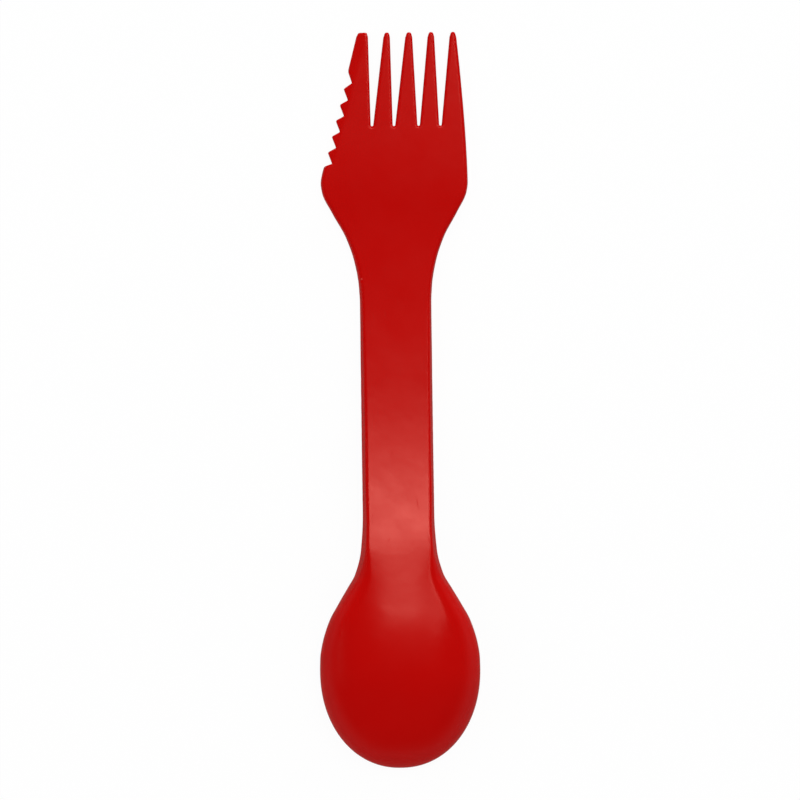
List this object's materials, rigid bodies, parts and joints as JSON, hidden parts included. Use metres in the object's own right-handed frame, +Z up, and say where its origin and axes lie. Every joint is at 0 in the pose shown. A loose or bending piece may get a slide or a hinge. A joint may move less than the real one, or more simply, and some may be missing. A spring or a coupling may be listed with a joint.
{
  "type": "spork",
  "caption": "Red plastic camping spork in one piece: deep spoon bowl at one end, channel-shaped handle, and a fork with a serrated knife edge at the other.",
  "frame": {"origin": "middle of the overall box, on the table that the spork lies on face down", "axes": "+Y from the bowl to the tines, +Z up out of the back of the bowl, +X to the right with the back up and the tines away, so the knife edge is on the -X side"},
  "size_m": [0.037, 0.17, 0.014],
  "materials": {
    "red_plastic": "semi-gloss moulded plastic"
  },
  "bodies": {
    "root": {"spork_body": "red_plastic"}
  },
  "joints": []
}
